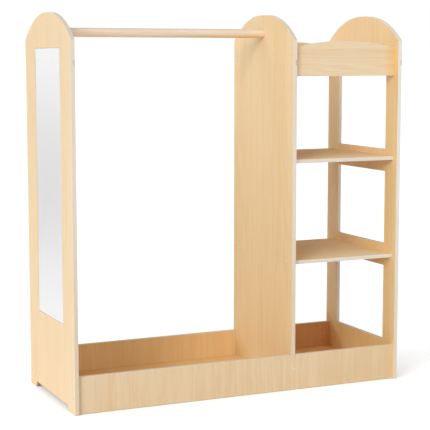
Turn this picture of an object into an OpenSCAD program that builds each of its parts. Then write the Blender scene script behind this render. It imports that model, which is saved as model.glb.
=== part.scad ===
// Dress-up storage unit for children: an open hanging bay with a rod, a stack of shelves
// beside it, panels with arched tops and a mirror let into the left-hand panel.
// Millimetres. X runs from the mirror side to the shelf side, Y from the front to the back
// and Z up. The origin is on the floor, in the middle of the unit.

/* [Unit] */
// Width over the two outer panels
unit_w = 1090; // [980:1:1240]
// Depth of the two outer panels
unit_d = 445; // [400:1:520]
// Height to the top of the arched panels
unit_h = 1165; // [1080:1:1300]
// Thickness of every board
board_t = 12; // [11:0.5:16]
// Thickness of the edging strips on the boards
edge_t = 1; // [0.6:0.1:2]

/* [Arched tops] */
// Rise of the arch over the straight sides of a panel
arch_rise = 80; // [50:1:100]
// Straight stretch at the crown of the arch
arch_flat = 28; // [10:1:80]

/* [Feet] */
// Length of each foot along the bottom of an outer panel
foot_len = 64; // [56:1:90]
// Height of the gap between the feet
foot_gap_h = 17; // [12:0.5:24]
// Rounding of the corners of that gap
foot_r = 5; // [2:0.5:5.5]

/* [Hanging bay] */
// Clear width between the mirror panel and the divider
hanging_bay_w = 700; // [600:1:760]
// How far the divider and the rails stand back from the outer panels' edges
divider_inset = 10; // [6:1:16]
// Diameter of the hanging rod
rod_d = 28; // [22:1:32]
// Depth of the rod's axis below the top of the panels
rod_drop = 58.5; // [50:0.5:90]

/* [Rails and floors] */
// Height of the front and back rails
rail_h = 112; // [96:1:130]
// Depth of the middle between a rail's two bolts below its upper edge
rail_bolt_drop = 45.5; // [30:0.5:50]
// Height of the clear space under the floor boards
floor_gap_h = 14; // [10:1:20]

/* [Shelves] */
// Height of the lower shelf's underside
lower_shelf_z = 394; // [350:1:430]
// Height of the upper shelf's underside
upper_shelf_z = 708; // [650:1:740]
// How far the shelves and the top boards stand back from the outer panels' edges
shelf_inset = 24; // [20:1:40]
// Distance of a shelf's bolts from its front and back edges
shelf_bolt_inset = 30; // [20:1:45]

/* [Top boards] */
// Depth of the top boards' lower edge below the top of the panels
top_board_drop = 190; // [170:1:210]
// Height of a top board at its ends
top_board_end_h = 88; // [80:1:100]
// Rise of its bowed upper edge in the middle
top_board_rise = 20; // [8:1:24]

/* [Windows] */
// Width of the stiles in front of and behind the windows
stile_w = 72; // [64:1:90]
// Height of the sill of the lowest window over the rails
sill_rise = 7; // [2:1:20]
// Height of the two cross-bars
bar_h = 71.5; // [64:0.5:90]
// How far the lower cross-bar reaches below its shelf
lower_bar_drop = 32; // [26:1:40]
// How far the upper cross-bar reaches below its shelf
upper_bar_drop = 40; // [30:1:46]
// How far the top window reaches up behind the top boards
window_lap = 5; // [0:1:20]

/* [Mirror] */
// Width of the mirror
mirror_w = 238; // [200:1:260]
// Height of the mirror
mirror_h = 808; // [700:1:850]
// Thickness of the mirror sheet
mirror_t = 3; // [2:0.5:4]
// Depth of its upper edge below the top of the panel
mirror_drop = 105; // [98:1:130]
// Thickness of the tape that holds it
tape_t = 0.8; // [0.5:0.1:1.2]
// Width of a strip of that tape
tape_w = 25; // [15:1:40]
// Gap around the mirror in its pocket
mirror_gap = 0.5; // [0.3:0.1:1]

/* [Fasteners] */
// Diameter of the connector bolts
bolt_d = 5; // [4:0.5:6]
// Diameter of their countersunk heads
bolt_head_d = 9; // [8:0.5:11]
// Width of the hexagon socket across its corners
socket_d = 3.4; // [3:0.1:3.8]
// Diameter of the barrel nuts
nut_d = 8; // [7:0.5:9]
// Length of the barrel nuts
nut_len = 9; // [7:0.5:10]
// Distance of a barrel nut from the end of its board
nut_setback = 30; // [24:1:36]
// Distance between the two bolts in a board's end
bolt_pitch = 36.5; // [30:0.5:44]
// Diameter of the wood screws
screw_d = 4.5; // [3.5:0.5:5]
// Diameter of their countersunk heads
screw_head_d = 8.5; // [7:0.5:10]
// Length of the wood screws
screw_len = 50; // [40:1:60]
// Diameter of the floor dowels
dowel_d = 8; // [6:0.5:9]
// Length of a dowel inside the end of a floor board
dowel_grip = 22; // [16:1:30]
// Distance of the dowels from the inner end of a foot
dowel_edge = 18; // [12:1:22]
// Clearance around every fastener, on each side
fit_gap = 0.1; // [0.05:0.05:0.3]
// Gap over the rails in the divider's notches
notch_gap = 0.3; // [0.2:0.1:1]

/* [Hidden] */
$fn = 96;
cut = 1;

// Colours
board_colour = [0.93, 0.81, 0.64];
rail_colour = [0.89, 0.79, 0.64];
edge_colour = [0.88, 0.84, 0.77];
rod_colour = [0.90, 0.80, 0.70];
dowel_colour = [0.82, 0.68, 0.48];
steel_colour = [0.78, 0.78, 0.79];
mirror_colour = [0.93, 0.94, 0.95];
tape_colour = [0.95, 0.95, 0.93];

// Places along X
left_face_x = -unit_w / 2;
left_inner_x = left_face_x + board_t;
divider_x = left_inner_x + hanging_bay_w;
divider_right_x = divider_x + board_t;
divider_mid_x = divider_x + board_t / 2;
right_face_x = unit_w / 2;
right_inner_x = right_face_x - board_t;
shelf_bay_w = right_inner_x - divider_right_x;

// Places along Y, measured from the middle of the depth
divider_d = unit_d - 2 * divider_inset;
rail_face_y = divider_d / 2;
rail_inner_y = rail_face_y - board_t;
rail_mid_y = rail_face_y - board_t / 2;
shelf_half_d = unit_d / 2 - shelf_inset;
top_board_mid_y = shelf_half_d - board_t / 2;
shelf_bolt_y = shelf_half_d - shelf_bolt_inset;
window_half_d = unit_d / 2 - stile_w;
foot_gap_half_d = unit_d / 2 - foot_len;
dowel_y = foot_gap_half_d + dowel_edge;

// Places along Z
rod_z = unit_h - rod_drop;
top_board_z = unit_h - top_board_drop;
top_board_h = top_board_end_h + top_board_rise;
mirror_z = unit_h - mirror_drop - mirror_h;
floor_mid_z = floor_gap_h + board_t / 2;
rail_bolt_mid_z = rail_h - rail_bolt_drop;
sill_z = rail_h + sill_rise;
lower_bar_z = lower_shelf_z - lower_bar_drop;
upper_bar_z = upper_shelf_z - upper_bar_drop;
window_top_z = top_board_z + window_lap;

// Each window of the right-hand panel, as its lower and upper edge
windows = [
    [sill_z, lower_bar_z],
    [lower_bar_z + bar_h, upper_bar_z],
    [upper_bar_z + bar_h, window_top_z]
];

// Fasteners
bolt_len = board_t + nut_setback + nut_d;
bolt_head_h = (bolt_head_d - bolt_d) / 2;
socket_h = bolt_head_h + 1;
screw_head_h = (screw_head_d - screw_d) / 2;
screw_tip_h = 2 * screw_d;
dowel_seat = board_t * 2 / 3;
tape_margin = 20;
tape_pitch = (mirror_w - 2 * tape_margin - tape_w) / 2;
nut_slot_w = 1.2;
nut_slot_h = 1.5;

// Where the bolts cross each board's end, as [y, z]
rail_bolt_zs = [for (side = [-1, 1]) rail_bolt_mid_z + side * bolt_pitch / 2];
top_bolt_zs = [for (side = [-1, 1]) top_board_z + top_board_h / 2 + side * bolt_pitch / 2];
front_rail_points = [for (z = rail_bolt_zs) [-rail_mid_y, z]];
back_rail_points = [for (z = rail_bolt_zs) [rail_mid_y, z]];
top_front_points = [for (z = top_bolt_zs) [-top_board_mid_y, z]];
top_back_points = [for (z = top_bolt_zs) [top_board_mid_y, z]];
lower_shelf_points = [for (side = [-1, 1]) [side * shelf_bolt_y, lower_shelf_z + board_t / 2]];
upper_shelf_points = [for (side = [-1, 1]) [side * shelf_bolt_y, upper_shelf_z + board_t / 2]];

// ---- outlines, drawn in the plane of the board ----

// Upright board with an arched top; inset draws it smaller all round but the bottom
module arched_outline(depth, inset = 0) {
    half = depth / 2 - inset;
    arc_half = (depth - arch_flat) / 2;
    arc_r = (arc_half * arc_half + arch_rise * arch_rise) / (2 * arch_rise);
    arc_z = unit_h - arc_r;
    intersection() {
        translate([-half, 0]) square([2 * half, unit_h - inset]);
        union() {
            translate([-half, 0]) square([2 * half, arc_z]);
            translate([-arch_flat / 2, 0]) square([arch_flat, unit_h - inset]);
            for (side = [-1, 1]) translate([side * arch_flat / 2, arc_z])
                circle(r = arc_r - inset, $fn = 360);
        }
    }
}

// Gap between two feet, with rounded inner corners and rounded toes
module foot_gap_outline() {
    half = foot_gap_half_d;
    difference() {
        union() {
            translate([-half - foot_r, -cut]) square([2 * (half + foot_r), foot_r + cut]);
            translate([-half, -cut]) square([2 * half, foot_gap_h - foot_r + cut]);
            translate([foot_r - half, -cut]) square([2 * (half - foot_r), foot_gap_h + cut]);
            for (side = [-1, 1]) translate([side * (half - foot_r), foot_gap_h - foot_r]) circle(r = foot_r);
        }
        for (side = [-1, 1]) translate([side * (half + foot_r), foot_r]) circle(r = foot_r);
    }
}

// Notches at the foot of the divider, where the rails run past it
module notch_outline() {
    for (side = [0, 1]) mirror([side, 0]) translate([rail_inner_y, -cut])
        square([unit_d, rail_h + notch_gap + cut]);
}

// Window openings of the right-hand panel; grow widens them on every side
module window_outline(grow = 0) {
    for (window = windows) translate([-window_half_d - grow, window[0] - grow])
        square([2 * (window_half_d + grow), window[1] - window[0] + 2 * grow]);
}

// Top board with its bowed upper edge; inset lowers that edge and lifts the bottom one
module top_board_outline(inset = 0, over = 0) {
    half = shelf_bay_w / 2;
    bow_r = (half * half + top_board_rise * top_board_rise) / (2 * top_board_rise);
    intersection() {
        translate([-half - over, inset]) square([2 * (half + over), top_board_h]);
        translate([0, top_board_h - bow_r]) circle(r = bow_r - inset, $fn = 360);
    }
}

// ---- boards ----

// Stands an outline of [y, z] up as a board whose left face is at x
module upright(x) {
    translate([x, 0, 0]) rotate([90, 0, 90]) linear_extrude(board_t) children();
}

// A board that spans the shelf bay with its front face at y and its underside at z
module cross_board(y, z) {
    translate([(divider_right_x + right_inner_x) / 2, y + board_t, z]) rotate([90, 0, 0])
        linear_extrude(board_t) children();
}

// A plain box between two corners
module span(low, high) {
    translate(low) cube(high - low);
}

// ---- fasteners ----

// Connector bolt along +X with its head's face at the origin
module bolt(grow = 0) {
    rotate([0, 90, 0]) difference() {
        union() {
            cylinder(h = bolt_head_h, d1 = bolt_head_d + 2 * grow, d2 = bolt_d + 2 * grow);
            cylinder(h = bolt_len + grow, d = bolt_d + 2 * grow);
        }
        if (grow == 0) translate([0, 0, -cut]) cylinder(h = socket_h + cut, d = socket_d, $fn = 6);
    }
}

// Wood screw along +X with its head's face at the origin
module wood_screw(grow = 0) {
    body_h = screw_len - screw_tip_h;
    rotate([0, 90, 0]) difference() {
        union() {
            cylinder(h = screw_head_h, d1 = screw_head_d + 2 * grow, d2 = screw_d + 2 * grow);
            cylinder(h = body_h, d = screw_d + 2 * grow);
            translate([0, 0, body_h])
                cylinder(h = screw_tip_h + grow, d1 = screw_d + 2 * grow, d2 = 1 + 2 * grow);
        }
        if (grow == 0) for (turn = [0, 90]) rotate([0, 0, turn]) translate([-screw_d / 2, -0.5, -cut])
            cube([screw_d, 1, screw_head_h + cut]);
    }
}

// Barrel nut along Z, open towards -Z, with its cross hole along X
module barrel_nut() {
    difference() {
        translate([0, 0, -nut_len / 2]) cylinder(h = nut_len, d = nut_d);
        translate([-nut_d, 0, 0]) rotate([0, 90, 0]) cylinder(h = 2 * nut_d, d = bolt_d + 2 * fit_gap);
        translate([-nut_d / 2, -nut_slot_w / 2, -nut_len / 2 - cut])
            cube([nut_d, nut_slot_w, nut_slot_h + cut]);
    }
}

// Hole for a barrel nut, bored into the board from its face on the -Z side
module nut_hole() {
    translate([0, 0, -board_t / 2 - cut])
        cylinder(h = board_t / 2 + nut_len / 2 + fit_gap + cut, d = nut_d + 2 * fit_gap);
}

// Bolts through both supports of a board, whose outer faces are at left_x and right_x
module end_bolts(left_x, right_x, points, grow = 0) {
    for (point = points) {
        translate([left_x, point[0], point[1]]) bolt(grow);
        translate([right_x, point[0], point[1]]) mirror([1, 0, 0]) bolt(grow);
    }
}

// Children set at both ends of a board at the barrel nuts' places, turned to open along a face
module at_nuts(left_x, right_x, points, turn) {
    for (point = points) {
        for (x = [left_x + board_t + nut_setback, right_x - board_t - nut_setback])
            translate([x, point[0], point[1]]) rotate([turn, 0, 0]) children();
    }
}

// A nut bored from below, from the front or from the back
from_below = 0;
from_front = -90;
from_back = 90;

// ---- outer panels and divider ----

module rail_bolt_holes() {
    end_bolts(left_face_x, right_face_x, concat(front_rail_points, back_rail_points), fit_gap);
}

module shelf_bay_bolt_holes() {
    points = concat(lower_shelf_points, upper_shelf_points, top_front_points, top_back_points);
    end_bolts(divider_x, right_face_x, points, fit_gap);
}

module rod_screw_holes() {
    place_rod_screws(fit_gap);
}

module left_panel() color(board_colour) difference() {
    upright(left_face_x) difference() {
        arched_outline(unit_d, edge_t);
        foot_gap_outline();
    }
    mirror_pocket();
    rail_bolt_holes();
    rod_screw_holes();
    floor_dowel_holes();
}

module left_panel_edging() color(edge_colour) upright(left_face_x) edging_outline(unit_d);

module divider_panel() color(board_colour) difference() {
    upright(divider_x) difference() {
        arched_outline(divider_d, edge_t);
        foot_gap_outline();
        notch_outline();
    }
    shelf_bay_bolt_holes();
    rod_screw_holes();
    rail_screw_holes();
    floor_dowel_holes();
}

module divider_edging() color(edge_colour) upright(divider_x) difference() {
    edging_outline(divider_d);
    notch_outline();
}

module right_panel() color(board_colour) difference() {
    upright(right_inner_x) difference() {
        arched_outline(unit_d, edge_t);
        foot_gap_outline();
        window_outline(edge_t);
    }
    rail_bolt_holes();
    shelf_bay_bolt_holes();
    floor_dowel_holes();
}

module right_panel_edging() color(edge_colour) upright(right_inner_x) edging_outline(unit_d);

module window_edging() color(edge_colour) upright(right_inner_x) difference() {
    window_outline(edge_t);
    window_outline();
}

// Strip up the front edge, over the arch and down the back edge
module edging_outline(depth) {
    difference() {
        arched_outline(depth);
        arched_outline(depth, edge_t);
    }
}

// ---- mirror ----

module mirror_pocket() {
    half = mirror_w / 2 + mirror_gap;
    span([left_face_x - cut, -half, mirror_z - mirror_gap],
         [left_face_x + mirror_t + tape_t, half, mirror_z + mirror_h + mirror_gap]);
}

module mirror_sheet() color(mirror_colour)
    span([left_face_x, -mirror_w / 2, mirror_z],
         [left_face_x + mirror_t, mirror_w / 2, mirror_z + mirror_h]);

module mirror_tape() color(tape_colour) for (strip = [-1, 0, 1]) {
    y = strip * tape_pitch;
    span([left_face_x + mirror_t, y - tape_w / 2, mirror_z + tape_margin],
         [left_face_x + mirror_t + tape_t, y + tape_w / 2, mirror_z + mirror_h - tape_margin]);
}

// ---- hanging rod ----

module place_rod_screws(grow = 0) {
    translate([left_face_x, 0, rod_z]) wood_screw(grow);
    translate([divider_right_x, 0, rod_z]) mirror([1, 0, 0]) wood_screw(grow);
}

module hanging_rod() color(rod_colour) difference() {
    translate([left_inner_x, 0, rod_z]) rotate([0, 90, 0]) cylinder(h = hanging_bay_w, d = rod_d);
    rod_screw_holes();
}

module rod_screws() color(steel_colour) place_rod_screws();

// ---- rails and floors ----

module rail_nut_places(points, turn) {
    at_nuts(left_face_x, right_face_x, points, turn) children();
}

module rail(side, points, turn) difference() {
    y = side * rail_mid_y;
    span([left_inner_x, y - board_t / 2, 0], [right_inner_x, y + board_t / 2, rail_h - edge_t]);
    rail_bolt_holes();
    rail_nut_places(points, turn) nut_hole();
    rail_screw_holes();
}

module rail_edging(side) {
    y = side * rail_mid_y;
    span([left_inner_x, y - board_t / 2, rail_h - edge_t], [right_inner_x, y + board_t / 2, rail_h]);
}

module front_rail() color(rail_colour) rail(-1, front_rail_points, from_back);
module back_rail() color(rail_colour) rail(1, back_rail_points, from_front);
module front_rail_edging() color(edge_colour) rail_edging(-1);
module back_rail_edging() color(edge_colour) rail_edging(1);

module place_rail_screws(grow = 0) {
    for (turn = [90, -90]) {
        translate([divider_mid_x, -sign(turn) * rail_face_y, rail_bolt_mid_z]) rotate([0, 0, turn])
            wood_screw(grow);
    }
}

module rail_screw_holes() {
    place_rail_screws(fit_gap);
}

module divider_rail_screws() color(steel_colour) place_rail_screws();

module floor_board(low_x, high_x) difference() {
    span([low_x, -rail_inner_y, floor_gap_h], [high_x, rail_inner_y, floor_gap_h + board_t]);
    floor_dowel_holes();
}

module hanging_bay_floor() color(board_colour) floor_board(left_inner_x, divider_x);
module shelf_bay_floor() color(board_colour) floor_board(divider_right_x, right_inner_x);

// Dowels of the floors: a pair in each outer panel and a pair right through the divider
module place_floor_dowels(grow = 0) {
    reaches = [
        [left_inner_x - dowel_seat, left_inner_x + dowel_grip],
        [divider_x - dowel_grip, divider_right_x + dowel_grip],
        [right_inner_x - dowel_grip, right_inner_x + dowel_seat]
    ];
    for (reach = reaches) {
        for (side = [-1, 1]) translate([reach[0] - grow, side * dowel_y, floor_mid_z]) rotate([0, 90, 0])
            cylinder(h = reach[1] - reach[0] + 2 * grow, d = dowel_d + 2 * grow);
    }
}

module floor_dowel_holes() {
    place_floor_dowels(fit_gap);
}

module floor_dowels() color(dowel_colour) place_floor_dowels();

// ---- shelves ----

module shelf(z, points) difference() {
    span([divider_right_x, edge_t - shelf_half_d, z],
         [right_inner_x, shelf_half_d - edge_t, z + board_t]);
    shelf_bay_bolt_holes();
    at_nuts(divider_x, right_face_x, points, from_below) nut_hole();
}

module shelf_edging(z) {
    for (side = [0, 1]) mirror([0, side, 0])
        span([divider_right_x, shelf_half_d - edge_t, z], [right_inner_x, shelf_half_d, z + board_t]);
}

module lower_shelf() color(board_colour) shelf(lower_shelf_z, lower_shelf_points);
module upper_shelf() color(board_colour) shelf(upper_shelf_z, upper_shelf_points);
module lower_shelf_edging() color(edge_colour) shelf_edging(lower_shelf_z);
module upper_shelf_edging() color(edge_colour) shelf_edging(upper_shelf_z);

// ---- top boards ----

module top_board(side, points, turn) difference() {
    cross_board(side * top_board_mid_y - board_t / 2, top_board_z) top_board_outline(edge_t);
    shelf_bay_bolt_holes();
    at_nuts(divider_x, right_face_x, points, turn) nut_hole();
}

module top_board_edging(side) {
    cross_board(side * top_board_mid_y - board_t / 2, top_board_z) difference() {
        top_board_outline();
        top_board_outline(edge_t, cut);
    }
}

module top_front_board() color(board_colour) top_board(-1, top_front_points, from_back);
module top_back_board() color(board_colour) top_board(1, top_back_points, from_front);
module top_front_edging() color(edge_colour) top_board_edging(-1);
module top_back_edging() color(edge_colour) top_board_edging(1);

// ---- bolts and barrel nuts ----

module rail_bolts(points) color(steel_colour) end_bolts(left_face_x, right_face_x, points);
module shelf_bay_bolts(points) color(steel_colour) end_bolts(divider_x, right_face_x, points);
module rail_nuts(points, turn) color(steel_colour) rail_nut_places(points, turn) barrel_nut();
module shelf_bay_nuts(points, turn) color(steel_colour)
    at_nuts(divider_x, right_face_x, points, turn) barrel_nut();

left_panel();
left_panel_edging();
mirror_sheet();
mirror_tape();
divider_panel();
divider_edging();
right_panel();
right_panel_edging();
window_edging();
hanging_rod();
rod_screws();
front_rail();
front_rail_edging();
back_rail();
back_rail_edging();
divider_rail_screws();
hanging_bay_floor();
shelf_bay_floor();
floor_dowels();
lower_shelf();
lower_shelf_edging();
upper_shelf();
upper_shelf_edging();
top_front_board();
top_front_edging();
top_back_board();
top_back_edging();
rail_bolts(front_rail_points);  // front_rail_bolts
rail_nuts(front_rail_points, from_back);  // front_rail_barrel_nuts
rail_bolts(back_rail_points);  // back_rail_bolts
rail_nuts(back_rail_points, from_front);  // back_rail_barrel_nuts
shelf_bay_bolts(lower_shelf_points);  // lower_shelf_bolts
shelf_bay_nuts(lower_shelf_points, from_below);  // lower_shelf_barrel_nuts
shelf_bay_bolts(upper_shelf_points);  // upper_shelf_bolts
shelf_bay_nuts(upper_shelf_points, from_below);  // upper_shelf_barrel_nuts
shelf_bay_bolts(top_front_points);  // top_front_bolts
shelf_bay_nuts(top_front_points, from_back);  // top_front_barrel_nuts
shelf_bay_bolts(top_back_points);  // top_back_bolts
shelf_bay_nuts(top_back_points, from_front);  // top_back_barrel_nuts
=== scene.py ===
import math
import bmesh
import bpy
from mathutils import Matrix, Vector


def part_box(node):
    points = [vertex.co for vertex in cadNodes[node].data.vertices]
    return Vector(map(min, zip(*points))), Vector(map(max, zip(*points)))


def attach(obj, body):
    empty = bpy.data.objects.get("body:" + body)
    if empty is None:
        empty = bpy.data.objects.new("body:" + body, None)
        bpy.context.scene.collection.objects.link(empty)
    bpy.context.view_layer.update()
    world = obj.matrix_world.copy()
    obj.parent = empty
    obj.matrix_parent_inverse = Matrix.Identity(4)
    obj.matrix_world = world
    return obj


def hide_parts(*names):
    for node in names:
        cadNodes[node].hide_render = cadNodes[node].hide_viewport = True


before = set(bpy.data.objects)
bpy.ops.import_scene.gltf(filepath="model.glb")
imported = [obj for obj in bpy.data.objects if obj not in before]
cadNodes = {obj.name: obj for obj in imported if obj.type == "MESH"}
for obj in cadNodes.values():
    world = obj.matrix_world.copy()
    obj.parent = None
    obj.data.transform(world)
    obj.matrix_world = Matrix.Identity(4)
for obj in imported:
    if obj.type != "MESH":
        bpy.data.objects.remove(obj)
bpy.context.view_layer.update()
scene = bpy.context.scene
print("frame loaded:", len(cadNodes), "CAD nodes")

photoCamera = {
    "place": (-1.7219, -3.7901, 1.0404),  # metres
    "turn": 24.441,  # degrees to the right of straight ahead
    "dip": 6.911,  # degrees below level
    "lens": 110.684,
    "sensor": 36.0,
    "near": 0.05,  # what it draws starts and ends at these distances
    "far": 200.0,
}


def addCamera():
    lens = bpy.data.cameras.new("photo_camera")
    lens.lens = photoCamera["lens"]
    lens.sensor_width = photoCamera["sensor"]
    lens.clip_start = photoCamera["near"]
    lens.clip_end = photoCamera["far"]
    holder = bpy.data.objects.new("photo_camera", lens)
    holder.location = photoCamera["place"]
    tip, turn = math.radians(90 - photoCamera["dip"]), math.radians(photoCamera["turn"])
    holder.rotation_euler = (tip, 0, -turn)
    scene.collection.objects.link(holder)
    scene.camera = holder


# short ways to build shader nodes
def addNode(tree, kind, **settings):
    node = tree.nodes.new(kind)
    for name, value in settings.items():
        setattr(node, name, value)
    return node


def plug(tree, value, socket):  # a link, or a plain number or colour
    if isinstance(value, bpy.types.NodeSocket):
        tree.links.new(value, socket)
    else:
        socket.default_value = value


def calc(tree, operation, first, second=0.0, third=None, clamp=False):
    node = addNode(tree, "ShaderNodeMath", operation=operation, use_clamp=clamp)
    plug(tree, first, node.inputs[0])
    plug(tree, second, node.inputs[1])
    if third is not None:
        plug(tree, third, node.inputs[2])
    return node.outputs[0]


def vary(tree, base, noise, amount, clamp=False):  # base, more or less by a noise from 0 to 1
    return calc(tree, "MULTIPLY_ADD", calc(tree, "SUBTRACT", noise, 0.5), amount, base, clamp)


def vectorCalc(tree, operation, first, second):
    node = addNode(tree, "ShaderNodeVectorMath", operation=operation)
    plug(tree, first, node.inputs[0])
    plug(tree, second, node.inputs[1])
    return node.outputs["Value" if operation == "DOT_PRODUCT" else "Vector"]


def scaled(tree, vector, factors):
    return vectorCalc(tree, "MULTIPLY", vector, factors)


def split(tree, vector):
    node = addNode(tree, "ShaderNodeSeparateXYZ")
    plug(tree, vector, node.inputs[0])
    return node.outputs


def join(tree, numbers):
    node = addNode(tree, "ShaderNodeCombineXYZ")
    for slot, number in enumerate(numbers):
        plug(tree, number, node.inputs[slot])
    return node.outputs[0]


def objectSpot(tree):  # a place on the piece in metres
    return addNode(tree, "ShaderNodeTexCoord").outputs["Object"]


def surfaceNormal(tree):
    return addNode(tree, "ShaderNodeNewGeometry").outputs["Normal"]


def noiseOf(tree, vector, detail, roughness=0.5):
    node = addNode(tree, "ShaderNodeTexNoise")
    plug(tree, vector, node.inputs["Vector"])
    node.inputs["Scale"].default_value = 1.0
    node.inputs["Detail"].default_value = detail
    node.inputs["Roughness"].default_value = roughness
    return node.outputs["Fac"]


def mixColour(tree, share, first, second, way="MIX"):
    node = addNode(tree, "ShaderNodeMix", data_type="RGBA", clamp_factor=True, blend_type=way)
    plug(tree, share, node.inputs[0])
    plug(tree, first, node.inputs[6])  # the node's colour sockets
    plug(tree, second, node.inputs[7])
    return node.outputs[2]


def smoothStep(tree, value, low, high):  # 0 at low and 1 at high, which may be the lesser
    node = addNode(tree, "ShaderNodeMapRange", interpolation_type="SMOOTHSTEP")
    plug(tree, value, node.inputs["Value"])
    plug(tree, low, node.inputs["From Min"])
    plug(tree, high, node.inputs["From Max"])
    return node.outputs["Result"]


def newGroup(name, takes, gives):
    group = bpy.data.node_groups.new(name, "ShaderNodeTree")
    for title, kind, value in takes:
        socket = group.interface.new_socket(
            name=title, in_out="INPUT", socket_type="NodeSocket" + kind)
        if value is not None:
            socket.default_value = value
    for title, kind in gives:
        group.interface.new_socket(name=title, in_out="OUTPUT", socket_type="NodeSocket" + kind)
    take = addNode(group, "NodeGroupInput").outputs
    give = addNode(group, "NodeGroupOutput").inputs
    return group, take, give


def useGroup(tree, group, values):
    node = addNode(tree, "ShaderNodeGroup", node_tree=group)
    for title, value in values.items():
        plug(tree, value, node.inputs[title])
    return node.outputs


def newMaterial(name):
    material = bpy.data.materials.new(name)
    material.use_nodes = True
    tree = material.node_tree
    return material, tree, tree.nodes["Principled BSDF"]


def roughen(tree, shader, height, look):
    bump = addNode(tree, "ShaderNodeBump")
    bump.inputs["Strength"].default_value = look["bump"]
    bump.inputs["Distance"].default_value = look["bumpDepth"]
    plug(tree, height, bump.inputs["Height"])
    plug(tree, bump.outputs["Normal"], shader.inputs["Normal"])


def rgb(red, green, blue):  # a screen colour from 0 to 255, as Blender's linear light
    light = [c / 255 for c in (red, green, blue)]
    return (*[c / 12.92 if c <= 0.04045 else ((c + 0.055) / 1.055) ** 2.4 for c in light], 1.0)


def blend(first, second, share):
    return tuple(a + (b - a) * share for a, b in zip(first, second))


def shaded(colour, by):
    return (*[c * share for c, share in zip(colour, by)], 1.0)


# effects that several finishes share, each a node group
surfaceGives = [("Color", "Color"), ("Roughness", "Float"), ("Height", "Float")]

grainMake = {
    "bend": (5.0, 5.0, 1.3),  # scale of the slow bends, per metre
    "broad": (0.22, 0.22, 0.5),  # these three are scales beside the streaks' own
    "bands": (3.1, 3.1, 1.7),
    "lines": (12.0, 12.0, 9.0),
    "rings": (8.0, 8.0, 0.9),  # scale of the growth rings, per metre
    "ringTurns": 75.0,
    "broadWeight": 0.8,
    "streakWeight": 0.5,
    "bandWeight": 1.0,
    "lineWeight": 2.0,
    "figureWeight": 0.5,
    "lineRough": 0.16,
    "broadRough": 0.10,
    "bandHeight": 0.4,
}


def buildGrain():
    make = grainMake
    group, take, give = newGroup(
        "woodGrain",
        [("Place", "Vector", None), ("Pale", "Color", None), ("Warm", "Color", None),
         ("Streak Width", "Float", 0.014), ("Streak Length", "Float", 0.7),
         ("Contrast", "Float", 1.0), ("Figure", "Float", 0.2), ("Wander", "Float", 0.02),
         ("Sheen", "Float", 0.4), ("Tone", "Float", 0.0)],
        surfaceGives)
    slow = noiseOf(group, scaled(group, take["Place"], make["bend"]), detail=1.0)
    sway = vary(group, 0.0, slow, take["Wander"])
    spot = vectorCalc(group, "ADD", take["Place"], join(group, (sway, sway)))
    across = calc(group, "DIVIDE", 1.0, take["Streak Width"])
    along = calc(group, "DIVIDE", 1.0, take["Streak Length"])
    stretched = scaled(group, spot, join(group, (across, across, along)))
    broad = noiseOf(group, scaled(group, stretched, make["broad"]), detail=1.0)
    streaks = noiseOf(group, stretched, detail=1.0)
    bands = noiseOf(group, scaled(group, stretched, make["bands"]), detail=1.0)
    lines = noiseOf(group, scaled(group, stretched, make["lines"]), detail=2.0, roughness=0.6)
    rings = noiseOf(group, scaled(group, spot, make["rings"]), detail=0.0)
    figure = calc(group, "SINE", calc(group, "MULTIPLY", rings, make["ringTurns"]))
    total = vary(group, 0.0, broad, make["broadWeight"])
    total = vary(group, total, streaks, make["streakWeight"])
    total = vary(group, total, bands, make["bandWeight"])
    total = vary(group, total, lines, make["lineWeight"])
    figured = calc(group, "MULTIPLY", take["Figure"], make["figureWeight"])
    total = calc(group, "MULTIPLY_ADD", figure, figured, total)
    middle = calc(group, "ADD", take["Tone"], 0.5)
    share = calc(group, "MULTIPLY_ADD", total, take["Contrast"], middle, clamp=True)
    plug(group, mixColour(group, share, take["Warm"], take["Pale"]), give["Color"])
    rough = vary(group, take["Sheen"], lines, make["lineRough"])
    plug(group, vary(group, rough, broad, make["broadRough"]), give["Roughness"])
    height = calc(group, "MULTIPLY_ADD", bands, make["bandHeight"], lines)
    plug(group, height, give["Height"])
    return group


rubMake = {
    "patches": (60.0, 60.0, 60.0),
    "turnedFrom": 0.01,  # how far the softened normal has turned, as 1 - cosine
    "turnedTo": 0.2,
}


def buildRub():  # where hands and cloth polish the edges
    group, take, give = newGroup(
        "edgeRub",
        [("Place", "Vector", None), ("Radius", "Float", 0.0012), ("Amount", "Float", 0.5)],
        [("Mask", "Float")])
    softened = addNode(group, "ShaderNodeBevel", samples=4)
    plug(group, take["Radius"], softened.inputs["Radius"])
    agreed = vectorCalc(group, "DOT_PRODUCT", softened.outputs[0], surfaceNormal(group))
    turned = calc(group, "SUBTRACT", 1.0, agreed)
    edges = smoothStep(group, turned, rubMake["turnedFrom"], rubMake["turnedTo"])
    patches = scaled(group, take["Place"], rubMake["patches"])
    patchy = noiseOf(group, patches, detail=3.0, roughness=0.6)
    mask = calc(group, "MULTIPLY", edges, patchy)
    plug(group, calc(group, "MULTIPLY", mask, take["Amount"], clamp=True), give["Mask"])
    return group


stripMake = {
    "clouds": (9.0, 9.0, 9.0),
    "cloudBend": 0.5,
    "rules": 9.0,  # fine lines across the strip
    "alongRules": (2.0, 2.0, 2.0),
    "coolEnd": -0.18,  # across the strip, in its thicknesses from the middle
    "creamStart": 0.12,
    "lineShade": 0.9,
    "lineRough": 0.15,
}


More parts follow.
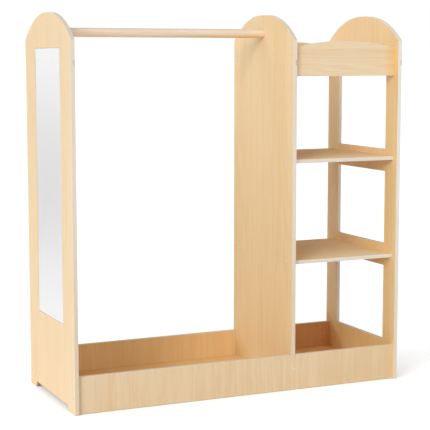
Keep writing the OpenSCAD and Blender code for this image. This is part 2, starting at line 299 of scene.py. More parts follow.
def buildStrip():  # printed plastic edging: a cool half and a cream half, with fine lines along it
    make = stripMake
    group, take, give = newGroup(
        "edgingStrip",
        [("Place", "Vector", None), ("Across", "Float", 0.0), ("Cool", "Color", None),
         ("Cream", "Color", None), ("Sheen", "Float", 0.4)],
        surfaceGives)
    cloud = noiseOf(group, scaled(group, take["Place"], make["clouds"]), detail=2.0)
    bent = vary(group, take["Across"], cloud, make["cloudBend"])
    ruled = join(group, (calc(group, "MULTIPLY", bent, make["rules"]),))
    slowly = scaled(group, take["Place"], make["alongRules"])
    lines = noiseOf(group, vectorCalc(group, "ADD", ruled, slowly), detail=2.0, roughness=0.6)
    half = smoothStep(group, bent, make["coolEnd"], make["creamStart"])
    share = vary(group, half, lines, make["lineShade"], clamp=True)
    plug(group, mixColour(group, share, take["Cool"], take["Cream"]), give["Color"])
    plug(group, vary(group, take["Sheen"], lines, make["lineRough"]), give["Roughness"])
    plug(group, lines, give["Height"])
    return group


speckleMake = {
    "cloudScale": (0.12, 0.12, 0.12),  # beside the chips' own
    "strength": 1.6,
    "rough": 0.2,
}


def buildSpeckle():  # chips of raw board, bubbles of foam or crystals of zinc
    group, take, give = newGroup(
        "speckle",
        [("Place", "Vector", None), ("Light", "Color", None), ("Dark", "Color", None),
         ("Grain Size", "Float", 0.001), ("Contrast", "Float", 1.0), ("Sheen", "Float", 0.6)],
        surfaceGives)
    fine = calc(group, "DIVIDE", 1.0, take["Grain Size"])
    spot = scaled(group, take["Place"], join(group, (fine, fine, fine)))
    chips = noiseOf(group, spot, detail=3.0, roughness=0.7)
    clouds = noiseOf(group, scaled(group, spot, speckleMake["cloudScale"]), detail=2.0)
    both = vary(group, vary(group, 0.0, chips, 1.0), clouds, 1.0)
    strength = calc(group, "MULTIPLY", take["Contrast"], speckleMake["strength"])
    share = calc(group, "MULTIPLY_ADD", both, strength, 0.5, clamp=True)
    plug(group, mixColour(group, share, take["Dark"], take["Light"]), give["Color"])
    rough = calc(group, "MULTIPLY_ADD", both, speckleMake["rough"], take["Sheen"])
    plug(group, rough, give["Roughness"])
    plug(group, chips, give["Height"])
    return group


woodGrain = buildGrain()
edgeRub = buildRub()
edgingStrip = buildStrip()
speckle = buildSpeckle()
print("shared effects built")

maple = {
    "pale": rgb(249, 225, 188),
    "warm": rgb(243, 212, 168),
    "deep": rgb(240, 197, 132),
    "depth": 0.0,  # how far both go towards deep; on the boards inside the bays it is painted shade
    "shade": (1, 1, 1),  # and what they are multiplied by, a painted level of light or shade for each board
    "streakWidth": 0.013,
    "streakLength": 0.8,
    "contrast": 2.0,
    "figure": 0.2,
    "wander": 0.02,
    "tone": 0.0,  # over 0 it is paler
    "paintedLightSlope": (0, 0, 0),  # change of tone per metre, a painted gradient of light and shade across the board
    # patches of painted shade and painted light, by place on the board
    "paintedShading": (),
    "sheen": 0.62,
    "gloss": 0.2,
    "rubbed": rgb(250, 234, 208),
    "rubReach": 0.0012,
    "rubAmount": 0.7,
    "rubRough": 0.12,
    "bump": 0.12,
    "bumpDepth": 0.0004,
}
grainOrder = {"X": (1, 2, 0), "Z": (0, 1, 2)}  # two axes across the grain, then the one along it


def grainPlace(tree, here, along, shift):
    parts = split(tree, here)
    moved = [calc(tree, "ADD", parts[axis], by) for axis, by in zip(grainOrder[along], shift)]
    return join(tree, moved)


# painted light and shade: each entry multiplies the colour by its last value, where here . towards
# + start is 1 or more; under 1 it paints shade and over 1 light
def paintShading(tree, colour, here, paintedShading):
    for towards, start, by in paintedShading:
        share = calc(tree, "ADD", vectorCalc(tree, "DOT_PRODUCT", here, towards), start, clamp=True)
        colour = mixColour(tree, share, colour, (*by, 1.0), "MULTIPLY")
    return colour


def mapleFinish(name, look):
    material, tree, shader = newMaterial(name)
    here = objectSpot(tree)
    spot = grainPlace(tree, here, look["along"], look["shift"])
    pale, warm = (shaded(blend(look[key], look["deep"], look["depth"]), look["shade"])
                  for key in ("pale", "warm"))
    # a painted gradient of light across the board
    paintedLightGradient = vectorCalc(tree, "DOT_PRODUCT", here, look["paintedLightSlope"])
    grain = useGroup(tree, woodGrain, {
        "Place": spot, "Pale": pale, "Warm": warm, "Streak Width": look["streakWidth"],
        "Streak Length": look["streakLength"], "Contrast": look["contrast"],
        "Figure": look["figure"], "Wander": look["wander"], "Sheen": look["sheen"],
        "Tone": calc(tree, "ADD", paintedLightGradient, look["tone"])})
    # paints shade and light in patches by place on the board
    colour = paintShading(tree, grain["Color"], here, look["paintedShading"])
    rub = useGroup(tree, edgeRub, {
        "Place": spot, "Radius": look["rubReach"], "Amount": look["rubAmount"]})["Mask"]
    plug(tree, mixColour(tree, rub, colour, look["rubbed"]), shader.inputs["Base Color"])
    rough = calc(tree, "MULTIPLY_ADD", rub, look["rubRough"], grain["Roughness"])
    plug(tree, rough, shader.inputs["Roughness"])
    shader.inputs["Specular IOR Level"].default_value = look["gloss"]
    roughen(tree, shader, grain["Height"], look)
    return material


edging = {
    "sheen": 0.5,
    "gloss": 0.35,
    "upFrom": 0.1,  # how far the surface faces up, where its painted shade starts
    "upFull": 0.8,
    "paintedLowShade": (0.94, 0.88, 0.80, 1.0),  # multiplies the colour low down: painted shade, darker towards the bottom
    "lowShadeEnd": 0.65,  # height
    "lowShadeFull": 0.15,
    "bump": 0.1,
    "bumpDepth": 0.0003,
}
# one darker mark on each upright's front edge, at the same height
edgeMark = {
    "colour": rgb(186, 166, 152),
    "amount": 0.5,
    "height": 1.017,
    "halfLength": 0.011,
    "fade": 0.6,
    "inner": 0.0,  # across the strip, in its thicknesses from the middle
    "outer": 0.2,
    "before": -0.2,  # the y up to which a face counts as the front
}
# cool and cream are its two halves, and the last colour multiplies them where the strip faces up:
# painted shade on its upper faces
archEdging = {
    "cool": rgb(243, 232, 218),
    "cream": rgb(248, 235, 216),
    "paintedTopShade": (0.85, 0.845, 0.82, 1.0),
}
# the same edging made paler on the right panel and in its windows: painted light
rightEdging = {
    "cool": rgb(248, 243, 236),
    "cream": rgb(253, 246, 233),
    "paintedTopShade": (0.85, 0.845, 0.82, 1.0),
}
railEdging = {
    "cool": rgb(243, 232, 218),
    "cream": rgb(248, 235, 216),
    "paintedTopShade": (0.87, 0.81, 0.745, 1.0),
}
windowEdging = {
    "cool": rgb(250, 237, 221),
    "cream": rgb(254, 239, 216),
    "paintedTopShade": (0.64, 0.59, 0.54, 1.0),
}


def markedColour(tree, colour, spot, across):  # the darker mark and the painted low shade of an upright
    parts = split(tree, spot)
    away = calc(tree, "ABSOLUTE", calc(tree, "SUBTRACT", parts["Z"], edgeMark["height"]))
    inside = edgeMark["halfLength"] * edgeMark["fade"]
    tall = smoothStep(tree, away, edgeMark["halfLength"], inside)
    side = smoothStep(tree, across, edgeMark["inner"], edgeMark["outer"])
    front = calc(tree, "LESS_THAN", parts["Y"], edgeMark["before"])
    mark = calc(tree, "MULTIPLY", calc(tree, "MULTIPLY", tall, side), front)
    mark = calc(tree, "MULTIPLY", mark, edgeMark["amount"])
    colour = mixColour(tree, mark, colour, edgeMark["colour"])
    # painted shade, darker towards the bottom
    low = smoothStep(tree, parts["Z"], edging["lowShadeEnd"], edging["lowShadeFull"])
    return mixColour(tree, low, colour, edging["paintedLowShade"], "MULTIPLY")


def edgingFinish(name, axis, middle, thickness, look, marked):
    material, tree, shader = newMaterial(name)
    spot = objectSpot(tree)
    offset = calc(tree, "SUBTRACT", split(tree, spot)[axis], middle)
    across = calc(tree, "DIVIDE", offset, thickness)
    strip = useGroup(tree, edgingStrip, {
        "Place": spot, "Across": across, "Cool": look["cool"], "Cream": look["cream"],
        "Sheen": edging["sheen"]})
    colour = strip["Color"]
    if marked:
        colour = markedColour(tree, colour, spot, across)
    # painted shade on the faces that look up
    facing = split(tree, surfaceNormal(tree))["Z"]
    upward = smoothStep(tree, facing, edging["upFrom"], edging["upFull"])
    colour = mixColour(tree, upward, colour, look["paintedTopShade"], "MULTIPLY")
    plug(tree, colour, shader.inputs["Base Color"])
    plug(tree, strip["Roughness"], shader.inputs["Roughness"])
    shader.inputs["Specular IOR Level"].default_value = edging["gloss"]
    roughen(tree, shader, strip["Height"], edging)
    return material


beech = {
    "pale": rgb(254, 237, 212),
    "warm": rgb(248, 221, 190),
    "streakWidth": 0.006,
    "streakLength": 0.35,
    "contrast": 1.4,
    "figure": 0.2,
    "wander": 0.01,
    "sheen": 0.34,
    "fleck": rgb(196, 156, 120),
    "fleckScale": (900.0, 900.0, 160.0),
    "fleckFrom": 0.66,
    "fleckFull": 0.74,
    "fleckAmount": 0.25,
    "lacquer": 0.8,
    "lacquerRough": 0.22,
    "bump": 0.1,
    "bumpDepth": 0.0003,
}
rodPaintedShade = {
    "topShade": (0.82, 0.77, 0.72, 1.0),  # multiplies the colour along the top: painted shade
    "topShadeFrom": 0.0075,  # metres over the axis
    "topShadeFull": 0.013,
    "under": rgb(243, 206, 160),  # the underside, darker and warmer: painted shade and bounce light
    "underFull": -0.012,
    "underShadeFromX": -0.3,  # x up to which the underside is plain; its painted shade grows from there towards the divider
    "underShadeFullX": 0.1,
    "lost": -0.8,  # what both take from the lacquer
}


# the rod's colour and lacquer, with painted shade along its top and underside, where it also has
# less lacquer
def paintRodShade(tree, colour, here, axisHeight):
    parts = split(tree, here)
    above = calc(tree, "SUBTRACT", parts["Z"], axisHeight)
    topShade = smoothStep(tree, above, rodPaintedShade["topShadeFrom"], rodPaintedShade["topShadeFull"])
    colour = mixColour(tree, topShade, colour, rodPaintedShade["topShade"], "MULTIPLY")
    lower = smoothStep(tree, above, 0.0, rodPaintedShade["underFull"])
    towardsDivider = smoothStep(tree, parts["X"], rodPaintedShade["underShadeFromX"], rodPaintedShade["underShadeFullX"])
    below = calc(tree, "MULTIPLY", lower, towardsDivider)
    colour = mixColour(tree, below, colour, rodPaintedShade["under"])
    most = calc(tree, "MAXIMUM", topShade, below)
    return colour, calc(tree, "MULTIPLY_ADD", most, rodPaintedShade["lost"], 1.0)


def beechFinish(name, shift, axisHeight=None):  # with axisHeight it is the rod
    material, tree, shader = newMaterial(name)
    here = objectSpot(tree)
    spot = grainPlace(tree, here, "X", shift)
    grain = useGroup(tree, woodGrain, {
        "Place": spot, "Pale": beech["pale"], "Warm": beech["warm"],
        "Streak Width": beech["streakWidth"], "Streak Length": beech["streakLength"],
        "Contrast": beech["contrast"], "Figure": beech["figure"], "Wander": beech["wander"],
        "Sheen": beech["sheen"]})
    pores = noiseOf(tree, scaled(tree, spot, beech["fleckScale"]), detail=0.0)
    dark = smoothStep(tree, pores, beech["fleckFrom"], beech["fleckFull"])
    fleck = calc(tree, "MULTIPLY", dark, beech["fleckAmount"])
    colour = grain["Color"]
    lacquer = beech["lacquer"]
    if axisHeight is not None:
        colour, lacquer = paintRodShade(tree, colour, here, axisHeight)
    plug(tree, lacquer, shader.inputs["Coat Weight"])
    plug(tree, mixColour(tree, fleck, colour, beech["fleck"]), shader.inputs["Base Color"])
    plug(tree, grain["Roughness"], shader.inputs["Roughness"])
    shader.inputs["Coat Roughness"].default_value = beech["lacquerRough"]
    roughen(tree, shader, grain["Height"], beech)
    return material


rawCore = {
    "light": rgb(206, 187, 163),
    "dark": rgb(158, 132, 104),
    "grainSize": 0.0011,
    "contrast": 1.2,
    "sheen": 0.8,
    "bump": 0.4,
    "bumpDepth": 0.0003,
}
zinc = {
    "light": rgb(246, 246, 247),
    "dark": rgb(224, 225, 228),
    "grainSize": 0.0009,
    "contrast": 0.8,
    "sheen": 0.3,
    "metallic": 0.65,
    "bump": 0.08,
    "bumpDepth": 0.0001,
}
# the barrel nuts are plated yellow
brassy = {**zinc, "light": rgb(230, 200, 160), "dark": rgb(208, 176, 134)}
foam = {
    "light": rgb(246, 246, 242),
    "dark": rgb(226, 226, 220),
    "grainSize": 0.0007,
    "contrast": 0.8,
    "sheen": 0.85,
    "bump": 0.3,
    "bumpDepth": 0.0002,
}


def speckledFinish(name, look):
    material, tree, shader = newMaterial(name)
    chips = useGroup(tree, speckle, {
        "Place": objectSpot(tree), "Light": look["light"], "Dark": look["dark"],
        "Grain Size": look["grainSize"], "Contrast": look["contrast"], "Sheen": look["sheen"]})
    plug(tree, chips["Color"], shader.inputs["Base Color"])
    plug(tree, chips["Roughness"], shader.inputs["Roughness"])
    shader.inputs["Metallic"].default_value = look.get("metallic", 0.0)
    roughen(tree, shader, chips["Height"], look)
    return material


silver = {
    "plain": rgb(250, 250, 250),
    "film": rgb(244, 245, 245),
    "smears": (7.0, 7.0, 5.0),
    "smearFrom": 0.55,
    "smearFull": 0.8,
    "rough": 0.012,
    "smearRough": 0.03,
}
groundEdge = {
    "plain": rgb(240, 244, 246),
    "film": rgb(244, 245, 245),
    "scratches": (800.0, 300.0, 300.0),
    "rough": 0.12,
    "scratchRough": 0.2,
    "metallic": 0.5,
}


def silverFinish():
    material, tree, shader = newMaterial("mirror_silver")
    spot = scaled(tree, objectSpot(tree), silver["smears"])
    film = noiseOf(tree, spot, detail=4.0, roughness=0.6)
    smear = smoothStep(tree, film, silver["smearFrom"], silver["smearFull"])
    colour = mixColour(tree, smear, silver["plain"], silver["film"])
    rough = calc(tree, "MULTIPLY_ADD", smear, silver["smearRough"], silver["rough"])
    plug(tree, colour, shader.inputs["Base Color"])
    plug(tree, rough, shader.inputs["Roughness"])
    shader.inputs["Metallic"].default_value = 1.0
    return material


def groundFinish():
    material, tree, shader = newMaterial("mirror_ground_edge")
    ground = noiseOf(tree, scaled(tree, objectSpot(tree), groundEdge["scratches"]), detail=2.0)
    colour = mixColour(tree, ground, groundEdge["plain"], groundEdge["film"])
    rough = calc(tree, "MULTIPLY_ADD", ground, groundEdge["scratchRough"], groundEdge["rough"])
    plug(tree, colour, shader.inputs["Base Color"])
    plug(tree, rough, shader.inputs["Roughness"])
    shader.inputs["Metallic"].default_value = groundEdge["metallic"]
    return material


coreMaterial = speckledFinish("raw_board_core", rawCore)
zincMaterial = speckledFinish("zinc_plated_steel", zinc)
nutMaterial = speckledFinish("yellow_plated_steel", brassy)
print("finishes built")

shapeLimits = {
    "weld": 2e-6,  # metres
    "flat": 0.3,  # degrees between faces that become one
    "sharp": 35,  # degrees from which an edge isn't shaded smooth
    "flatWeight": 100,  # how much the broad faces decide the shading
    "level": 0.999,  # a face across the axis has at least this share of its normal on it
    "upright": 0.02,  # and a rim has at most this
}


def cadShape(node):  # the CAD node as welded plain faces
    mesh = cadNodes[node].data
    shape = bmesh.new()
    points = [shape.verts.new(vertex.co) for vertex in mesh.vertices]
    for polygon in mesh.polygons:
        shape.faces.new([points[i] for i in polygon.vertices])
    bmesh.ops.remove_doubles(shape, verts=shape.verts, dist=shapeLimits["weld"])
    bmesh.ops.dissolve_limit(shape, angle_limit=math.radians(shapeLimits["flat"]),
                             verts=shape.verts, edges=shape.edges)
    bmesh.ops.recalc_face_normals(shape, faces=shape.faces)
    return shape


def ease(shape, edges, width, segments, material=-1):
    if edges:
        bmesh.ops.bevel(shape, geom=edges, offset=width, offset_type="OFFSET",
                        segments=segments, profile=0.5, affect="EDGES", clamp_overlap=False,
                        loop_slide=False, material=material)


# the edges between a board's broad faces and its rim, each with the rim's own face,
# where axis is across the board's thickness
def rimEdges(shape, axis):
    found = []
    for edge in shape.edges:
        if len(edge.link_faces) != 2 or not edge.is_convex:
            continue
        tilt = [abs(face.normal[axis]) for face in edge.link_faces]
        if max(tilt) >= shapeLimits["level"] and min(tilt) <= shapeLimits["upright"]:
            found.append((edge, edge.link_faces[tilt.index(min(tilt))]))
    return found


def ringFaces(shape, near, far, material=0):  # a band of faces between two rings of points
    for i in range(len(near)):
        j = (i + 1) % len(near)
        shape.faces.new((near[i], near[j], far[j], far[i])).material_index = material


def addPiece(shape, name, materials, node):  # the CAD node is hidden and the piece is shown in its place
    bmesh.ops.recalc_face_normals(shape, faces=shape.faces)
    mesh = bpy.data.meshes.new(name)
    shape.to_mesh(mesh)
    shape.free()
    for material in materials:
        mesh.materials.append(material)
    mesh.shade_smooth()
    mesh.set_sharp_from_angle(angle=math.radians(shapeLimits["sharp"]))
    piece = bpy.data.objects.new(name, mesh)
    scene.collection.objects.link(piece)
    flatten = piece.modifiers.new("flat_faces", "WEIGHTED_NORMAL")
    flatten.keep_sharp = True
    flatten.weight = shapeLimits["flatWeight"]
    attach(piece, "root")
    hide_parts(node)


def dressNode(node, material):  # a CAD node that keeps its own mesh
    cadNodes[node].data.materials.clear()
    cadNodes[node].data.materials.append(material)


boardMake = {
    "rawBelow": 0.0155,  # height under which the edges are cut raw: feet, foot gaps and floors
    "cutWidth": 0.0007,
    "cutSteps": 2,
    "seamWidth": 0.00014,  # between the laminate and its edging
    "seamShortest": 0.004,
}


def addBoard(node, settings):
    look = {**maple, **boardMake, **settings}
    axis, rawBelow = look["axis"], look["rawBelow"]
    shape = cadShape(node)
    for face in shape.faces:  # 0 is the laminate and 1 the raw core
        face.material_index = 0 if abs(face.normal[axis]) > shapeLimits["level"] else 1
    cut = [edge for edge, _ in rimEdges(shape, axis)
           if max(v.co.z for v in edge.verts) < rawBelow]
    ease(shape, cut, look["cutWidth"], look["cutSteps"], material=1)
    seam = [edge for edge, _ in rimEdges(shape, axis)
            if min(v.co.z for v in edge.verts) > rawBelow
            and edge.calc_length() > look["seamShortest"]]
    ease(shape, seam, look["seamWidth"], segments=1, material=0)
    materials = [mapleFinish("maple_" + node, look), coreMaterial]
    addPiece(shape, node + "_board", materials, node)


# axis is across the board, along is the way of its grain and shift moves the grain
# depth, shade and tone make each board its own lighter or darker copy of the maple after the light
# it gets: painted light and shade
leftPanel = {
    "axis": 0, "along": "Z", "shift": (0.31, 1.70, 0.20),
    # paler at the front, darker towards the back and top: a painted falloff of light
    "figure": 0.08, "contrast": 1.3, "paintedLightSlope": (0, -0.7, -0.1), "tone": 0.1,
}
addBoard("left_panel", leftPanel)

dividerPanel = {
    "axis": 0, "along": "Z", "shift": (2.30, 0.45, 3.10),
    "depth": 0.2, "shade": (0.95, 0.96, 0.95),
    "paintedShading": (
        ((0, 4.0, -6.0), 0.05, (0.7, 0.66, 0.45)),  # painted shade low at the back, where it meets the back rail
        ((0, 0, -3.0), 2.3, (0.965, 0.955, 0.915)),  # painted shade on the lower part
        ((0, -1.0, -6.0), 1.2, (0.95, 0.94, 0.93)),  # painted shade at the foot
        ((0, 25.0, 6.0), -9.6, (1.08, 1.09, 1.14)),  # painted light above, at the back
    ),
}
addBoard("divider_panel", dividerPanel)

rightPanel = {
    "axis": 0, "along": "Z", "shift": (4.10, 2.65, 1.40),
    "depth": 0.3, "contrast": 2.6,
    "paintedShading": (
        ((0, -3.0, -1.5), 1.35, (0.925, 0.92, 0.81)),  # painted shade on the lower front
        ((0, 0, -8.0), 1.6, (1.0, 0.93, 0.82)),  # painted shade at the foot
        ((0, -40.0, 6.0), -13.4, (0.95, 0.92, 0.81)),  # painted shade on the upper front
        ((0, 20.0, -12.0), 1.2, (1.10, 1.17, 1.28)),  # painted light low towards the back
        ((0, 30.0, -30.0), -1.6, (0.84, 0.73, 0.66)),  # painted shade in the lowest corner at the back
    ),
}
addBoard("right_panel", rightPanel)

frontRail = {
    "axis": 1, "along": "Z", "shift": (0.77, 5.20, 2.25),
    # paler at the left and darker at the right: a painted falloff of light
    "figure": 0.1, "paintedLightSlope": (-0.8, 0, 0), "shade": (0.99, 0.985, 0.975),
    "paintedShading": (((0, 0, -20.0), 1.6, (0.985, 0.975, 0.965)),),  # painted shade along the lower edge
}
addBoard("front_rail", frontRail)

backRail = {
    "axis": 1, "along": "Z", "shift": (3.90, 6.10, 0.65),
    # darker towards the left: painted shade
    "depth": 0.3, "figure": 0.15, "paintedLightSlope": (1.0, 0, 0), "tone": 0.1,
    "shade": (1.01, 1.0, 0.94), "contrast": 3.0,
    "paintedShading": (((7.0, -400.0, 0), 78.9, (0.87, 0.68, 0.53)),),  # painted shade on the inner face in the shelf bay
}
addBoard("back_rail", backRail)

hangingBayFloor = {
    "axis": 2, "along": "X", "shift": (1.15, 3.30, 4.40), "depth": 0.7,
    "paintedShading": (((-2.4, 0, 0), -0.15, (0.76, 0.62, 0.46)),),  # painted shade towards the left panel
}
addBoard("hanging_bay_floor", hangingBayFloor)

shelfBayFloor = {
    "axis": 2, "along": "X", "shift": (6.35, 1.20, 5.15), "depth": 0.9,
    "paintedShading": (((0.1, 0, 0), 0.4, (1.0, 0.78, 0.60)),),  # painted shade, nearly half of it all over
}
addBoard("shelf_bay_floor", shelfBayFloor)

lowerShelf = {
    "axis": 2, "along": "X", "shift": (5.55, 0.95, 7.35), "rawBelow": -1.0,  # no raw edges
    "depth": 0.3, "contrast": 3.0, "shade": (1.08, 1.19, 1.30),
    "paintedShading": (
        ((-5.5, 0.5, 0), 2.1, (0.915, 0.79, 0.59)),  # painted shade at the left end, by the divider
        ((2.0, 5.5, 0), 0.24, (0.935, 0.84, 0.71)),  # painted shade at the back
        ((-13.1, 10.8, 0), 5.24, (0.85, 0.765, 0.66)),  # painted shade in the corner between them
    ),
}
addBoard("lower_shelf", lowerShelf)

upperShelf = {
    "axis": 2, "along": "X", "shift": (7.25, 4.75, 0.15), "rawBelow": -1.0,
    "depth": 0.25, "contrast": 3.0, "shade": (0.983, 0.982, 0.952),
    "paintedShading": (
        ((-8.5, 1.1, 0), 3.28, (0.915, 0.83, 0.625)),  # painted shade at the left end, by the divider
        ((1.6, 6.85, 0), 0.5, (0.88, 0.79, 0.66)),  # painted shade at the back
        ((-11.2, 9.3, 0), 4.6, (0.805, 0.68, 0.525)),  # painted shade in the corner between them
    ),
}
addBoard("upper_shelf", upperShelf)

topFrontBoard = {
    "axis": 1, "along": "X", "shift": (8.05, 2.05, 3.65), "rawBelow": -1.0,
    "figure": 0.3, "tone": 0.4, "shade": (1.05, 1.055, 1.06),
    "paintedShading": (((30.0, 0, 0), -14.7, (0.95, 0.86, 0.67)),),  # painted shade and warm bounce light at the right end
}
addBoard("top_front_board", topFrontBoard)

topBackBoard = {
    "axis": 1, "along": "X", "shift": (9.45, 7.15, 1.85), "rawBelow": -1.0,
    "figure": 0.3, "shade": (1.04, 1.05, 1.08),
    "paintedShading": (((0, -400.0, 0), 75.6, (0.98, 0.88, 0.74)),),  # painted shade on the inner face
}
addBoard("top_back_board", topBackBoard)
print("boards built")

stripEase = {"width": 0.0007, "steps": 3}


def looseParts(shape):  # sets of faces that hang together
    left = set(shape.faces)
    parts = []
    while left:
        part, front = set(), [left.pop()]
        while front:
            face = front.pop()
            part.add(face)
            touching = {other for edge in face.edges for other in edge.link_faces} & left
            left -= touching
            front += touching
        parts.append(part)
    return parts


def boxMiddle(faces):
    points = [v.co for face in faces for v in face.verts]
    return Vector([(min(p[i] for p in points) + max(p[i] for p in points)) / 2
                   for i in range(3)])


# inward is for strips inside a window, which show the side towards their own middle
def addEdging(node, board, axis, look, inward=False, marked=False):
    shape = cadShape(node)
    low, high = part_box(board)
    middle = (low + high) / 2
    middles = {}
    for part in looseParts(shape):
        own = boxMiddle(part) if inward else middle
        for face in part:
            middles[face] = own
    shown = []
    for edge, rim in rimEdges(shape, axis):
        outward = rim.normal.dot(rim.calc_center_median() - middles[rim])
        if (outward < 0) == inward:
            shown.append(edge)
    ease(shape, shown, stripEase["width"], stripEase["steps"])
    thickness = high[axis] - low[axis]
    material = edgingFinish("edging_" + node, axis, middle[axis], thickness, look, marked)
    addPiece(shape, node + "_strip", [material], node)


addEdging("left_panel_edging", "left_panel", 0, archEdging, marked=True)
addEdging("divider_edging", "divider_panel", 0, archEdging, marked=True)
addEdging("right_panel_edging", "right_panel", 0, rightEdging, marked=True)
addEdging("window_edging", "right_panel", 0, windowEdging, inward=True)
addEdging("front_rail_edging", "front_rail", 1, railEdging)
addEdging("back_rail_edging", "back_rail", 1, railEdging)
addEdging("lower_shelf_edging", "lower_shelf", 2, archEdging)
addEdging("upper_shelf_edging", "upper_shelf", 2, archEdging)
addEdging("top_front_edging", "top_front_board", 1, archEdging)
addEdging("top_back_edging", "top_back_board", 1, archEdging)
print("edging built")

mirrorSheet = {"chamferWidth": 0.0015, "chamferDepth": 0.0005}


def addMirror():
    low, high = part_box("mirror_sheet")
    shape = bmesh.new()
    rings = []
    for x, inset in ((high.x, 0.0), (low.x + mirrorSheet["chamferDepth"], 0.0),
                     (low.x, mirrorSheet["chamferWidth"])):
        near, far, foot, head = low.y + inset, high.y - inset, low.z + inset, high.z - inset
        corners = ((near, foot), (far, foot), (far, head), (near, head))
        rings.append([shape.verts.new((x, y, z)) for y, z in corners])
    shape.faces.new(rings[0]).material_index = 1
    shape.faces.new(rings[2]).material_index = 0
    ringFaces(shape, rings[0], rings[1], material=1)
    ringFaces(shape, rings[1], rings[2], material=1)
    addPiece(shape, "mirror", [silverFinish(), groundFinish()], "mirror_sheet")


addMirror()
dressNode("mirror_tape", speckledFinish("foam_tape", foam))
print("mirror built")

hangingRod = {
    "sides": 96,
    "endEase": 0.0008,
    "easeCorner": 0.3,  # how far in the middle of the ease lies, as a share of it
    "screwHole": 0.00235,  # radius
    "holeDepth": 0.029,
    "tipDepth": 0.038,
    "tipRadius": 0.0006,
    "grainShift": (0.4, 2.2, 1.3),
}
floorDowels = {"grainShift": (5.4, 1.2, 3.3)}


def addRod():
    rod = hangingRod
    low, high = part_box("hanging_rod")
    radius = (high.z - low.z) / 2
    height = (high.z + low.z) / 2
    soft, hole = rod["endEase"], rod["screwHole"]
    corner = soft * rod["easeCorner"]
    # how far in from the end, and the radius there, from the hole's tip round to the outside
    half = ((rod["tipDepth"], rod["tipRadius"]), (rod["holeDepth"], hole), (0.0, hole),
            (0.0, radius - soft), (corner, radius - corner), (soft, radius))
    profile = [(low.x + inset, r) for inset, r in half]
    profile += [(high.x - inset, r) for inset, r in reversed(half)]
    turns = [2 * math.pi * i / rod["sides"] for i in range(rod["sides"])]
    shape = bmesh.new()
    rings = [[shape.verts.new((x, r * math.cos(t), height + r * math.sin(t))) for t in turns]
             for x, r in profile]
    for near, far in zip(rings, rings[1:]):
        ringFaces(shape, near, far)
    shape.faces.new(rings[0])
    shape.faces.new(rings[-1])
    material = beechFinish("lacquered_beech", rod["grainShift"], height)
    addPiece(shape, "rod", [material], "hanging_rod")


addRod()
dressNode("floor_dowels", beechFinish("plain_beech", floorDowels["grainShift"]))
print("rod built")

fasteners = {"ease": 0.00012, "sharp": 35.0}  # metres and degrees


def addFasteners(node):
    shape = cadShape(node)
    if not node.endswith("_screws"):  # their cross recess is too narrow to ease
        limit = math.radians(fasteners["sharp"])
        sharp = [edge for edge in shape.edges if len(edge.link_faces) == 2
                 and edge.calc_face_angle(0.0) > limit and edge.is_convex]
        ease(shape, sharp, fasteners["ease"], segments=1)
    material = nutMaterial if node.endswith("_nuts") else zincMaterial
    addPiece(shape, node + "_set", [material], node)


for node in sorted(cadNodes):
    if node.endswith(("_bolts", "_screws", "_nuts")):
        addFasteners(node)
print("fasteners built")

white = (1, 1, 1, 1)
sky = {
    "level": 0.355,  # fill from all round, at 1 a colour shows as it is written
    "seen": 0.95,  # what the mirror and the metal see of it
    "behind": 1.01,  # what the camera sees of it, just over white
}


def seenBy(tree):  # whether the camera sees it, and whether a mirror or glass does
    path = addNode(tree, "ShaderNodeLightPath").outputs
    mirrored = calc(tree, "MAXIMUM", path["Is Glossy Ray"], path["Is Transmission Ray"])
    return path["Is Camera Ray"], mirrored


def addWorld():
    world = bpy.data.worlds.new("studio")
    world.use_nodes = True
    tree = world.node_tree
    tree.nodes.clear()
    camera, mirrored = seenBy(tree)
    fill = addNode(tree, "ShaderNodeBackground")
    fill.inputs["Color"].default_value = white
    fill.inputs["Strength"].default_value = sky["level"]
    seen = addNode(tree, "ShaderNodeBackground")
    seen.inputs["Color"].default_value = white
    strength = calc(tree, "MULTIPLY_ADD", camera, sky["behind"] - sky["seen"], sky["seen"])
    plug(tree, strength, seen.inputs["Strength"])
    either = addNode(tree, "ShaderNodeMixShader")
    plug(tree, calc(tree, "MAXIMUM", camera, mirrored), either.inputs[0])
    plug(tree, fill.outputs[0], either.inputs[1])
    plug(tree, seen.outputs[0], either.inputs[2])
    plug(tree, either.outputs[0], addNode(tree, "ShaderNodeOutputWorld").inputs["Surface"])
    scene.world = world


lamps = {
    # soft suns: level, degrees forward of the left side, degrees up, degrees across
    "suns": {
        "side_key": (0.385, 38.0, 20.0, 24.0),
        "left_key": (0.262, 0.0, 40.0, 60.0),
        "back_fill": (0.24, 208.0, 4.0, 16.0),
    },
    "sunsAway": 3,
    "topPower": 15.0,  # watts
    "topPlace": (0.6, -3.0, 3.2),
    "topAim": (0.0, 0.0, 0.58),
    "topSize": 2.6,
}


def hangLamp(lamp, towards, spot):
    holder = bpy.data.objects.new(lamp.name, lamp)
    holder.location = spot
    holder.rotation_euler = towards.to_track_quat("Z", "Y").to_euler()
    holder.visible_camera = False
    holder.visible_glossy = False
    scene.collection.objects.link(holder)


def addLamps():
    for name, (level, *angles) in lamps["suns"].items():
        turn, lift, across = (math.radians(angle) for angle in angles)
        lamp = bpy.data.lights.new(name, "SUN")
        lamp.energy = level * math.pi  # at level 1 a facing surface shows its own colour
        lamp.angle = across
        towards = Vector((-math.cos(turn) * math.cos(lift), -math.sin(turn) * math.cos(lift),
                          math.sin(lift)))
        hangLamp(lamp, towards, towards * lamps["sunsAway"])
    lamp = bpy.data.lights.new("top_softbox", "AREA")
    lamp.energy = lamps["topPower"]
    lamp.shape = "DISK"
    lamp.size = lamps["topSize"]
    hangLamp(lamp, Vector(lamps["topPlace"]) - Vector(lamps["topAim"]), lamps["topPlace"])


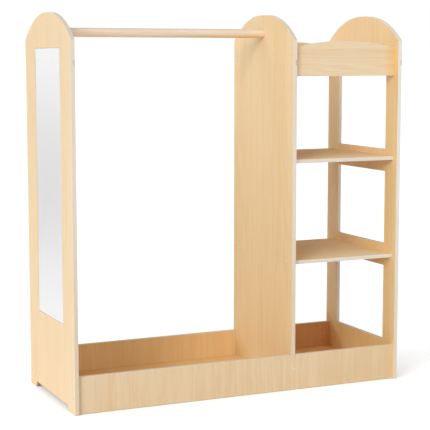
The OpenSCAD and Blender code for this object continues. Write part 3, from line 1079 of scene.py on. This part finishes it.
studioFloor = {
    "colour": (0.90, 0.90, 0.90, 1.0),
    "lift": (0.49, 0.515, 0.54, 1.0),  # whitens the floor for the camera only
    "contactReach": 0.18,
    "contactLight": 0.35,  # what is left of that white in a closed corner, so the floor gets a painted contact shadow round the object
    "half": 300.0,  # metres
    "drop": 0.0006,  # under the feet
    "nearest": 0.5,  # distance under which the mirror sees it all alike
    # painted reflection: how bright the mirror sees the floor, by 1 / distance in metres
    "mirrorLift": ((0.0, 0.339), (0.01, 0.321), (0.038, 0.262), (0.072, 0.202), (0.117, 0.17),
                   (0.173, 0.162), (0.25, 0.20), (0.361, 0.262), (0.57, 0.31)),
}


def mirroredLevel(tree):  # painted reflection: the floor's brightness in the mirror, by its distance
    length = addNode(tree, "ShaderNodeVectorMath", operation="LENGTH")
    plug(tree, objectSpot(tree), length.inputs[0])
    distance = calc(tree, "MAXIMUM", length.outputs["Value"], studioFloor["nearest"])
    ramp = addNode(tree, "ShaderNodeValToRGB")
    stops = studioFloor["mirrorLift"]
    while len(ramp.color_ramp.elements) < len(stops):
        ramp.color_ramp.elements.new(0.5)
    for stop, (spot, level) in zip(ramp.color_ramp.elements, stops):
        stop.position = spot
        stop.color = (level, level, level, 1)
    plug(tree, calc(tree, "DIVIDE", 1.0, distance), ramp.inputs[0])
    return ramp.outputs[0]


def floorFinish():
    material, tree, shader = newMaterial("studio_floor")
    tree.nodes.remove(shader)
    camera, mirrored = seenBy(tree)
    matte = addNode(tree, "ShaderNodeBsdfDiffuse")
    matte.inputs["Color"].default_value = studioFloor["colour"]
    # a painted contact shadow: the camera's whitening fades where ambient occlusion closes in
    corner = addNode(tree, "ShaderNodeAmbientOcclusion", samples=8)
    corner.inputs["Distance"].default_value = studioFloor["contactReach"]
    least = studioFloor["contactLight"]
    uncovered = calc(tree, "MULTIPLY_ADD", corner.outputs["AO"], 1 - least, least)
    whitened = addNode(tree, "ShaderNodeEmission")
    whitened.inputs["Color"].default_value = studioFloor["lift"]
    plug(tree, calc(tree, "MULTIPLY", camera, uncovered), whitened.inputs["Strength"])
    # painted reflection: the floor's glow for the mirror
    reflected = addNode(tree, "ShaderNodeEmission")
    strength = calc(tree, "MULTIPLY", mirrored, mirroredLevel(tree))
    plug(tree, strength, reflected.inputs["Strength"])
    last = matte.outputs[0]
    for glow in (whitened, reflected):
        both = addNode(tree, "ShaderNodeAddShader")
        plug(tree, last, both.inputs[0])
        plug(tree, glow.outputs[0], both.inputs[1])
        last = both.outputs[0]
    plug(tree, last, tree.nodes["Material Output"].inputs["Surface"])
    return material


def addFloor():
    half, drop = studioFloor["half"], studioFloor["drop"]
    corners = ((-half, -half), (half, -half), (half, half), (-half, half))
    shape = bmesh.new()
    shape.faces.new([shape.verts.new((x, y, -drop)) for x, y in corners])
    mesh = bpy.data.meshes.new("studio_floor")
    shape.to_mesh(mesh)
    shape.free()
    mesh.materials.append(floorFinish())
    floor = bpy.data.objects.new("studio_floor", mesh)
    scene.collection.objects.link(floor)


addCamera()
addWorld()
addLamps()
addFloor()
scene.view_settings.view_transform = "Standard"
print("studio built")
